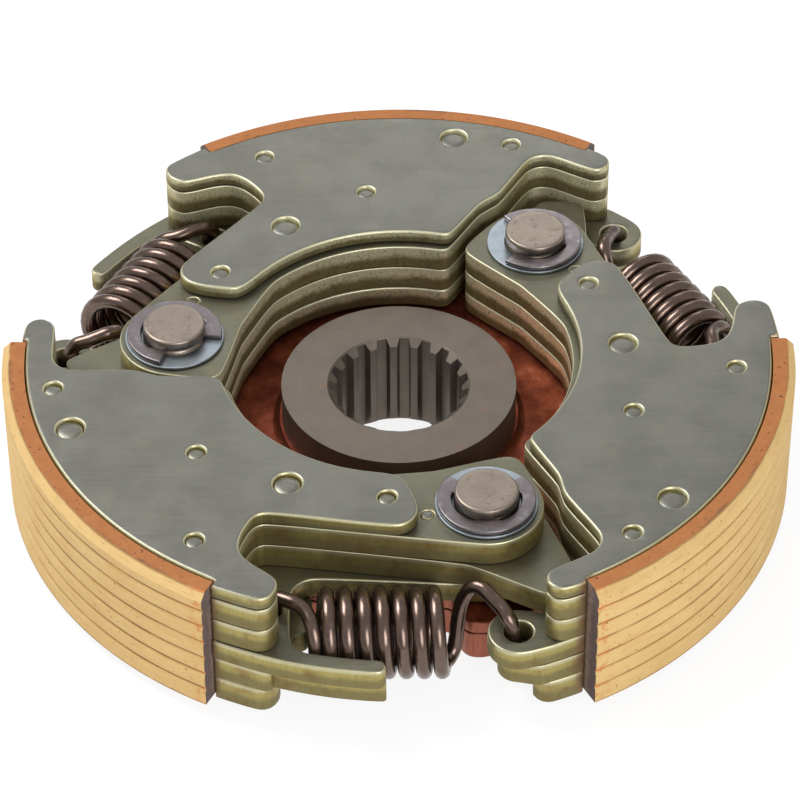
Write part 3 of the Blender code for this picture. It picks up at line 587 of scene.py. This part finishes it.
lining_finish = friction_material()
for shoe in SHOES:
    lining = copy_of(block)
    lining.rotation_euler.z = math.radians(LINING_START + SHOE_TURN + SECTOR * (shoe - 1))
    pick(lining)
    bpy.ops.object.shade_smooth_by_angle(angle=math.radians(20))
    place_piece(lining, f"shoe_{shoe}_lining_ground", f"shoe_{shoe}", lining_finish, "friction_lining",
                f"shoe_{shoe}_lining")
bpy.data.objects.remove(block)

# %% [markdown]
# ## Rivets, sunk in their holes
#
# Plain rivets hold each stack of plates. Their ends were pressed in, so they sit a little
# below the plate and leave a round shadow. One end is modelled from a cylinder: the cap is
# inset three times and raised to a low crown. Each rivet is made this way at its own width
# and length, taken from the measured one.

# %% One rivet
RIVET_SINK = 0.55
RIVET_FIT = 0.985
CROWN_STEPS = ((0.10, 0.07), (0.35, 0.05), (0.3, 0.015))


def rivet_like(node):
    """Return a rivet with a crowned end, as wide and as long as a measured one."""
    low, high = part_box(node)
    radius = (high.x - low.x) / 2 * RIVET_FIT
    flush = high.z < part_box(node.split("_rivet")[0] + "_top_plate")[0].z + 0.1 * MM
    top = high.z - (0.0 if flush else RIVET_SINK * MM)
    half = (top - low.z) / 2
    centre = ((low.x + high.x) / 2, (low.y + high.y) / 2, low.z + half)
    bpy.ops.object.select_all(action="DESELECT")
    bpy.ops.mesh.primitive_cylinder_add(vertices=32, radius=radius, depth=half * 2, location=centre)
    rivet = bpy.context.object
    bpy.ops.object.mode_set(mode="EDIT")
    choose(rivet, "FACE", lambda face: face.calc_center_median().z > half - TOUCH)
    for inset, rise in CROWN_STEPS:
        bpy.ops.mesh.inset(thickness=radius * inset)
        bpy.ops.transform.translate(value=(0, 0, radius * rise))
    choose(rivet, "VERT", lambda vert: vert.co.z > TOUCH - half)
    bpy.ops.transform.translate(value=(0, 0, -radius * sum(rise for _, rise in CROWN_STEPS)))
    bpy.ops.object.mode_set(mode="OBJECT")
    round_over(rivet)
    return rivet


# %% Rivets in place
for shoe in SHOES:
    for number in range(1, 8):
        node = f"shoe_{shoe}_rivet_{number}"
        place_piece(rivet_like(node), f"{node}_end", f"shoe_{shoe}", top_finish, "steel_top", node)

# %% [markdown]
# ## Pins, washers and clips
#
# Each shoe turns on a hardened pin. A thin washer lies on the shoe's boss, and an E-shaped
# spring clip snaps into a groove in the pin and keeps both on. The pin is turned steel, warm
# grey where the heat treatment coloured it. The washer is bright, almost blue, and the clip
# is darker. Both are stamped, so they are made as the shoes' plates are.


# %% Turned and bright steels
def turned_steel(name, low, high, tint, roughness, marks):
    """Return a machined steel, clouded between two greys, with fine level marks on its walls."""
    finish, shader, place = start_finish(name)
    cloud = noise(place, 3.2, 4, 0.65)
    fine = noise(place, 0.3, 4, 0.7)
    streak = noise(place, 0.25, 3, 0.6, (16, 16, 0.6))
    shade = mix(cloud, low, high)
    shade = mix(between(noise(place, 1.8, 4, 0.7), 0.52, 0.7) * 0.6, shade, tint)
    shade = mix(between(fine, 0.55, 0.8) * 0.35, shade, tone(low, 0.5))
    join(shader, "Base Color", shade)
    join(shader, "Roughness", cloud * 0.12 + fine * 0.16 + roughness)
    shader.inputs["Metallic"].default_value = 0.95
    raise_by(shader, fine * 0.5 + streak * marks, 0.02)
    return finish


pin_finish = turned_steel("hardened_pin_steel", linear(128, 117, 106), linear(162, 150, 138),
                          linear(104, 84, 72), 0.24, 0.8)
washer_finish = turned_steel("bright_washer_steel", linear(136, 144, 150), linear(172, 182, 190),
                             linear(120, 124, 136), 0.22, 0.2)
clip_finish = turned_steel("dark_spring_steel", linear(106, 99, 100), linear(142, 134, 136),
                           linear(164, 164, 170), 0.18, 0.2)


# %% A pin with its groove
PIN_RADIUS = 5.4
GROOVE_RADIUS = 4.3
GROOVE_PLAY = 0.05
PIN_ROUND = 0.45
DISH_REACH = 1.2
DISH_SLOPE = 0.6
DISH_DEPTH = 0.06


def pivot_pin(node):
    """Return a pin with the groove that its clip sits in, and a rounded, faintly dished end."""
    low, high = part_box(node)
    clip_low, clip_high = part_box(node.replace("pivot_pin", "retaining_clip"))
    bpy.ops.object.select_all(action="DESELECT")
    bpy.ops.mesh.primitive_cylinder_add(vertices=72, radius=PIN_RADIUS * MM, depth=high.z - low.z,
                                        location=(low + high) / 2)
    pin = bpy.context.object
    middle = pin.location.z
    bpy.ops.object.mode_set(mode="EDIT")
    for height in (clip_low.z - GROOVE_PLAY * MM, clip_high.z + GROOVE_PLAY * MM):
        bpy.ops.mesh.select_all(action="SELECT")
        bpy.ops.mesh.bisect(plane_co=(pin.location.x, pin.location.y, height), plane_no=(0, 0, 1))
    choose(pin, "FACE", lambda face: abs(face.normal.z) < 0.5
           and clip_low.z < face.calc_center_median().z + middle < clip_high.z)
    bpy.ops.mesh.extrude_region_move()
    narrow = GROOVE_RADIUS / PIN_RADIUS
    bpy.ops.transform.resize(value=(narrow, narrow, 1), center_override=pin.location)
    choose(pin, "EDGE", lambda edge: all(vert.co.z + middle > high.z - TOUCH for vert in edge.verts))
    bpy.ops.mesh.bevel(offset=PIN_ROUND * MM, segments=3, affect="EDGES")
    choose(pin, "FACE", lambda face: face.normal.z > 0.99
           and face.calc_center_median().z + middle > high.z - TOUCH)
    bpy.ops.mesh.inset(thickness=DISH_REACH * MM)
    bpy.ops.mesh.inset(thickness=DISH_SLOPE * MM)
    bpy.ops.transform.translate(value=(0, 0, -DISH_DEPTH * MM))
    mend_mesh()
    round_over(pin)
    return pin


for shoe in SHOES:
    node = f"pivot_pin_{shoe}"
    place_piece(pivot_pin(node), f"{node}_turned", "carrier", pin_finish, "pin_steel", node)
    for kind in ("pin_washer", "retaining_clip"):
        node = f"{kind}_{shoe}"
        finish = washer_finish if kind == "pin_washer" else clip_finish
        place_piece(stamped_plate(node, kind), f"{node}_bright", "carrier", finish, "clip_steel", node)
print("pin, washer and clip on each of", len(SHOES), "shoes")

# %% [markdown]
# ## Return springs
#
# A spring pulls each shoe towards the next one. It is one bent wire: a hook that drops into
# the shoe's own plate, seven close turns, and a hook into the next shoe's lobe. The wire
# follows one smooth line, so it is a path with a round bevel. Because the two ends ride on
# different shoes, the spring is cut into two halves under a middle turn, where the cut
# doesn't show.

# %% The wire's line
AXIS_RADIUS = 54.6
SPRING_HEIGHT = 13.0
WIRE_RADIUS = 1.3
COIL_RADIUS = 6.6
COIL_PITCH = 2.98
COIL_TURNS = 7
FIRST_COIL = -11.2
COIL_LEAD = 262
COIL_TRAIL = 78
CUT_ANGLE = 90 + 360 * 2
HOOK_BOTTOM = 12.5
STEPS_PER_TURN = 28
LEFT_HOOK = (-22.0, -51.8)
LEFT_ARCH = ((0.1, 0, 3.0), (0.7, -0.2, 4.9), (1.8, -0.8, 6.1), (3.0, -1.5, 6.4), (4.2, -2.2, 6.5),
             (5.5, -3.0, 6.3), (6.6, -4.2, 5.9), (7.4, -6.0, 5.2), (7.9, -7.4, 3.9))
LEFT_LEG = ((-0.5, -6.6, 8.1), (-0.5, -6.7, 5.5), (-0.4, -5.5, 2.7), (-0.2, -3.3, 0.5))
RIGHT_HOOK = (19.6, -57.3)
RIGHT_LEG = ((0.9, 1.7, -0.1), (1.7, 3.0, 0.9), (2.1, 3.9, 2.8), (2.3, 4.5, 5.0))
RIGHT_ARCH = ((-9.5, 6.8, 1.4), (-8.8, 7.1, 3.9), (-7.4, 7.0, 6.2), (-5.7, 5.9, 6.8), (-4.2, 4.3, 6.2),
              (-3.0, 3.0, 5.7), (-1.8, 1.3, 5.0), (-1.0, 0.5, 3.4), (-0.8, 0.1, 1.6))
HOOK_LEAN = 0.7


def coil_point(degrees):
    """Return the wire's centre at an angle along the coils."""
    turn = math.radians(degrees + 180)
    return Vector((FIRST_COIL + COIL_PITCH * degrees / 360, -AXIS_RADIUS + COIL_RADIUS * math.cos(turn),
                   SPRING_HEIGHT + COIL_RADIUS * math.sin(turn)))


def smooth_line(points, steps=8):
    """Return a smooth line through all points but the first and the last."""
    line = []
    for i in range(1, len(points) - 2):
        a, b, c, d = points[i - 1:i + 3]
        for step in range(steps):
            t = step / steps
            line.append((b * 2 + (c - a) * t + (a * 2 - b * 5 + c * 4 - d) * t * t
                         + (b * 3 - a - c * 3 + d) * t ** 3) / 2)
    return line


def wire_line():
    """Return the whole line, and the index of the cut, which is under a middle coil."""
    sweep = COIL_LEAD + 360 * (COIL_TURNS - 1) + COIL_TRAIL
    count = round(sweep / 360 * STEPS_PER_TURN)
    coils = [coil_point(sweep * i / count - COIL_LEAD) for i in range(count + 1)]
    left_hole = Vector((*LEFT_HOOK, SPRING_HEIGHT))
    right_hole = Vector((*RIGHT_HOOK, SPRING_HEIGHT))
    left = [Vector((*LEFT_HOOK, HOOK_BOTTOM))]
    left += [left_hole + Vector(step) for step in LEFT_ARCH]
    left += [coils[0] + Vector(step) for step in LEFT_LEG]
    right = [coils[-1] + Vector(step) for step in RIGHT_LEG]
    right += [right_hole + Vector(step) for step in RIGHT_ARCH]
    right += [Vector((RIGHT_HOOK[0] - HOOK_LEAN, RIGHT_HOOK[1], HOOK_BOTTOM))]
    start = smooth_line([left[0] * 2 - left[1]] + left + [coils[0], coils[3]])
    end = smooth_line([coils[-4], coils[-1]] + right + [right[-1] * 2 - right[-2]])
    cut = len(start) + round((COIL_LEAD + CUT_ANGLE) / sweep * count)
    return start + coils[:-1] + end + [right[-1]], cut


line, cut = wire_line()
print("spring wire:", round(sum((b - a).length for a, b in zip(line, line[1:])), 1), "mm long")


# %% Half a spring
def bent_wire(points):
    """Return a round wire along a line of points."""
    bpy.ops.object.select_all(action="DESELECT")
    bpy.ops.curve.primitive_nurbs_path_add()
    path = bpy.context.object
    path.data.splines.clear()
    spline = path.data.splines.new("POLY")
    spline.points.add(len(points) - 1)
    for knot, place in zip(spline.points, points):
        knot.co = (*(place * MM), 1)
    path.data.bevel_depth = WIRE_RADIUS * MM
    path.data.bevel_resolution = 5
    path.data.use_fill_caps = True
    bpy.ops.object.convert(target="MESH")
    mend_mesh(weld=0.001)
    bpy.ops.object.shade_smooth_by_angle(angle=math.radians(50))
    return path


# %% [markdown]
# ## Drawn spring wire
#
# Spring wire is drawn through a die and then tempered, which leaves a dark bronze skin with a
# sheen. Where the skin is worn it is thinner and paler. The sheen comes from a low roughness
# that varies a little, and the worn and the dark spots from noise of three sizes.


# %% Tempered bronze skin
def drawn_wire():
    """Return the springs' dark bronze skin."""
    finish, shader, place = start_finish("tempered_spring_wire")
    cloud = noise(place, 3.0, 4, 0.6)
    fine = noise(place, 0.35, 4, 0.7)
    skin = mix(cloud, linear(86, 72, 66), linear(128, 109, 99))
    skin = mix(between(noise(place, 1.3, 4, 0.7), 0.55, 0.75) * 0.5, skin, linear(154, 132, 120))
    skin = mix(between(fine, 0.58, 0.75) * 0.5, skin, linear(46, 36, 36))
    join(shader, "Base Color", skin)
    join(shader, "Roughness", fine * 0.08 + cloud * 0.06 + 0.16)
    shader.inputs["Metallic"].default_value = 0.95
    raise_by(shader, fine, 0.015)
    return finish


spring_finish = drawn_wire()
for shoe in SHOES:
    turn = Matrix.Rotation(math.radians(SECTOR * (shoe - 1)), 3, "Z")
    following = shoe % 3 + 1
    node = f"return_spring_{shoe}"
    for half, points, body in (("left", line[:cut + 1], f"shoe_{shoe}"),
                               ("right", line[cut:], f"shoe_{following}")):
        wire = bent_wire([turn @ point for point in points])
        wire.name = f"{node}_{half}_half"
        wire.data.materials.append(spring_finish)
        outer = turn @ (points[0] if half == "left" else points[-1])
        inner = turn @ line[cut]
        outer * MM
        inner * MM
        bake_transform(wire)
        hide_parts(node)

# %% [markdown]
# ## The splined hub
#
# The hub slides over the splined end of a shaft. It is a turned cylinder with nineteen teeth
# in its bore. The bore is cut with a toothed tool, as on a real broach: a cylinder with four
# points to a tooth, where two of them are pushed in and two out. A Boolean takes that shape
# out of the turned blank, two cones take out the entry at either end, and a bevel breaks
# every edge.

# %% The hub and its broach
HUB_RADIUS = 20.6
HUB_HEIGHT = 19.8
TEETH = 19
ROOT_RADIUS = 12.3
TIP_RADIUS = 11.1
TOOTH_CORNERS = ((-0.17, TIP_RADIUS), (0.17, TIP_RADIUS), (0.29, ROOT_RADIUS), (0.71, ROOT_RADIUS))
ENTRY_RADIUS = 12.6
ENTRY_DEPTH = 1.3
HUB_EDGE = 0.2


def broach():
    """Return the toothed tool that cuts the bore."""
    bpy.ops.object.select_all(action="DESELECT")
    bpy.ops.mesh.primitive_cylinder_add(vertices=TEETH * 4, radius=ROOT_RADIUS * MM,
                                        depth=HUB_HEIGHT * 2 * MM, location=(0, 0, HUB_HEIGHT / 2 * MM))
    tool = bpy.context.object
    pitch = 360 / TEETH
    for vert in tool.data.vertices:
        step = round(math.degrees(math.atan2(vert.co.y, vert.co.x)) / (pitch / 4))
        tooth, corner = divmod(step, 4)
        share, radius = TOOTH_CORNERS[corner]
        angle = math.radians((tooth + share) * pitch)
        vert.co.x = radius * math.cos(angle) * MM
        vert.co.y = radius * math.sin(angle) * MM
    return tool


def turned_hub():
    """Return the hub, bored by the broach."""
    bpy.ops.object.select_all(action="DESELECT")
    bpy.ops.mesh.primitive_cylinder_add(vertices=152, radius=HUB_RADIUS * MM, depth=HUB_HEIGHT * MM,
                                        location=(0, 0, HUB_HEIGHT / 2 * MM))
    hub = bpy.context.object
    tool = broach()
    apply_modifier(hub, "BOOLEAN", object=tool, operation="DIFFERENCE", solver="EXACT")
    bpy.data.objects.remove(tool)
    for height, wide, narrow in ((HUB_HEIGHT - ENTRY_DEPTH / 2, TIP_RADIUS, ENTRY_RADIUS),
                                 (ENTRY_DEPTH / 2, ENTRY_RADIUS, TIP_RADIUS)):
        bpy.ops.object.select_all(action="DESELECT")
        bpy.ops.mesh.primitive_cone_add(vertices=152, radius1=wide * MM, radius2=narrow * MM,
                                        depth=(ENTRY_DEPTH + 0.02) * MM, location=(0, 0, height * MM))
        cone = bpy.context.object
        apply_modifier(hub, "BOOLEAN", object=cone, operation="DIFFERENCE", solver="EXACT")
        bpy.data.objects.remove(cone)
    apply_modifier(hub, "BEVEL", width=HUB_EDGE * MM, segments=3, limit_method="ANGLE",
                   angle_limit=math.radians(40))
    round_over(hub)
    return hub


# %% Turned hub steel
def hub_material():
    """Return the hub's finish, with the fine rings that turning leaves."""
    finish, shader, place = start_finish("turned_hub_steel")
    x, y = axes(place)[:2]
    reach = (x * x + y * y) ** 0.5
    rings = reach.node("ShaderNodeTexNoise", {"noise_dimensions": "1D"},
                       {"W": reach * 3.2, "Scale": 1.0, "Detail": 4.0, "Roughness": 0.7})
    cloud = noise(place, 4.0, 4, 0.6)
    fine = noise(place, 0.4, 4, 0.7)
    skin = mix(cloud, linear(104, 96, 88), linear(128, 119, 110))
    skin = mix(rings * 0.3, skin, linear(78, 68, 60))
    skin = mix(between(noise(place, 2.0, 4, 0.7), 0.56, 0.72) * 0.45, skin, linear(140, 96, 78))
    join(shader, "Base Color", skin)
    join(shader, "Roughness", fine * 0.16 + rings * 0.12 + 0.36)
    shader.inputs["Metallic"].default_value = 0.9
    raise_by(shader, rings * 0.6 + fine * 0.4, 0.025)
    return finish


hub_finish = hub_material()
place_piece(turned_hub(), "hub_turned", "carrier", hub_finish, "hub_steel", "hub")

# %% [markdown]
# ## The braze fillet
#
# Where the hub stands in the carrier, the melted copper left a small hollow fillet all
# round. It is a narrow ring whose wall curves in. A three-sided face is spun round the axis,
# and its slope is pulled in before the spin.

# %% A ring of copper round the hub
FILLET_REACH = 1.7
FILLET_RISE = 1.3
FILLET_HOLLOW = 1.29


def braze_fillet():
    """Return the ring of braze in the corner between the hub and the carrier."""
    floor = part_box("carrier_plate")[1].z / MM
    bpy.ops.object.select_all(action="DESELECT")
    bpy.ops.mesh.primitive_plane_add(size=1, rotation=(math.pi / 2, 0, 0),
                                     location=((HUB_RADIUS + 0.01 + FILLET_REACH / 2) * MM, 0,
                                               (floor + 0.01 + FILLET_RISE / 2) * MM))
    fillet = bpy.context.object
    fillet.scale = (FILLET_REACH * MM, FILLET_RISE * MM, 1)
    bpy.ops.object.transform_apply(location=True, rotation=True, scale=True)
    bpy.ops.object.mode_set(mode="EDIT")
    corner = (HUB_RADIUS + FILLET_REACH / 2) * MM, (floor + FILLET_RISE / 2) * MM
    choose(fillet, "VERT", lambda vert: vert.co.x > corner[0] and vert.co.z > corner[1])
    bpy.ops.mesh.bevel(affect="VERTICES", offset=FILLET_HOLLOW * MM, segments=6, profile=0.15)
    bpy.ops.mesh.select_all(action="SELECT")
    bpy.ops.mesh.spin(steps=120, angle=2 * math.pi, center=(0, 0, 0), axis=(0, 0, 1), use_auto_merge=True)
    mend_mesh(weld=0.002)
    bpy.ops.object.shade_smooth_by_angle(angle=math.radians(50))
    return fillet


place_piece(braze_fillet(), "braze_fillet", "carrier", copper_finish, "copper")

# %% [markdown]
# ## Floor, light and camera
#
# The photograph is a plain studio shot: white all round, soft light from above, and a long
# lens that looks down at forty-two degrees. The floor is white paper. To the camera and in
# reflections it also glows a little, so that it shows as white without more light on the
# clutch, and a share of plain paper is left in it to catch the shadow.

# %% White paper floor
bpy.ops.object.select_all(action="DESELECT")
bpy.ops.mesh.primitive_plane_add(size=6, location=(0, 0, -0.0003))
floor = bpy.context.object
floor.name = "studio_floor"
paper = bpy.data.materials.new("white_paper")
paper.use_nodes = True
paper_shader = paper.node_tree.nodes["Principled BSDF"]
paper_shader.inputs["Base Color"].default_value = (0.9, 0.9, 0.9, 1)
paper_shader.inputs["Roughness"].default_value = 0.95
seen = Signal(paper.node_tree.nodes.new("ShaderNodeLightPath").outputs["Is Camera Ray"])
glossy = Signal(seen.socket.node.outputs["Is Glossy Ray"])
through = Signal(seen.socket.node.outputs["Is Transmission Ray"])
glow = seen.node("ShaderNodeEmission", {}, {"Color": (1, 1, 1, 1), "Strength": 1.08})
share = (seen + glossy + through) * 0.8
blended = share.node("ShaderNodeMixShader", {}, {0: share, 1: Signal(paper_shader.outputs[0]), 2: glow})
paper.node_tree.links.new(blended.socket, paper.node_tree.nodes["Material Output"].inputs["Surface"])
floor.data.materials.append(paper)
print("floor at", floor.location.z)

# %% Soft light
world = bpy.data.worlds.new("studio")
bpy.context.scene.world = world
world.use_nodes = True
sky = world.node_tree.nodes["Background"]
ray = Signal(world.node_tree.nodes.new("ShaderNodeLightPath").outputs["Is Camera Ray"])
mirrored = Signal(ray.socket.node.outputs["Is Glossy Ray"])
strength = ray * 0.55 + mirrored * 0.15 + 0.45
world.node_tree.links.new(strength.socket, sky.inputs["Strength"])
sky.inputs["Color"].default_value = (1, 1, 1, 1)


def soft_box(name, place, size, power):
    """Hang a soft box that looks at the clutch."""
    bpy.ops.object.light_add(type="AREA", location=place)
    lamp = bpy.context.object
    lamp.name = name
    lamp.data.shape = "SQUARE"
    lamp.data.size = size
    lamp.data.energy = power
    lamp.rotation_euler = (Vector((0, 0, 0.01)) - Vector(place)).to_track_quat("-Z", "Y").to_euler()


soft_box("key_light", (-0.45, 0.25, 0.75), 0.45, 6.0)
soft_box("front_light", (0.30, -0.75, 0.45), 0.5, 4.2)
soft_box("back_light", (0.05, 0.85, 0.50), 0.3, 0.7)

# %% Camera
AIM = Vector((0.0002, 0, 0.01575))
DISTANCE = 0.6996
ELEVATION = math.radians(42.04)
ROLL = math.radians(-0.263)
LENS = 178.8
bpy.ops.object.camera_add(location=AIM + DISTANCE * Vector((0, -math.cos(ELEVATION), math.sin(ELEVATION))),
                          rotation=(math.pi / 2 - ELEVATION, 0, 0))
camera = bpy.context.object
camera.rotation_euler.rotate_axis("Z", ROLL)
camera.data.lens = LENS
camera.data.sensor_width = 36
camera.data.clip_start = 0.01
bpy.context.scene.camera = camera
bpy.context.scene.view_settings.view_transform = "Standard"
print("camera looks down at", round(math.degrees(ELEVATION), 2), "degrees")
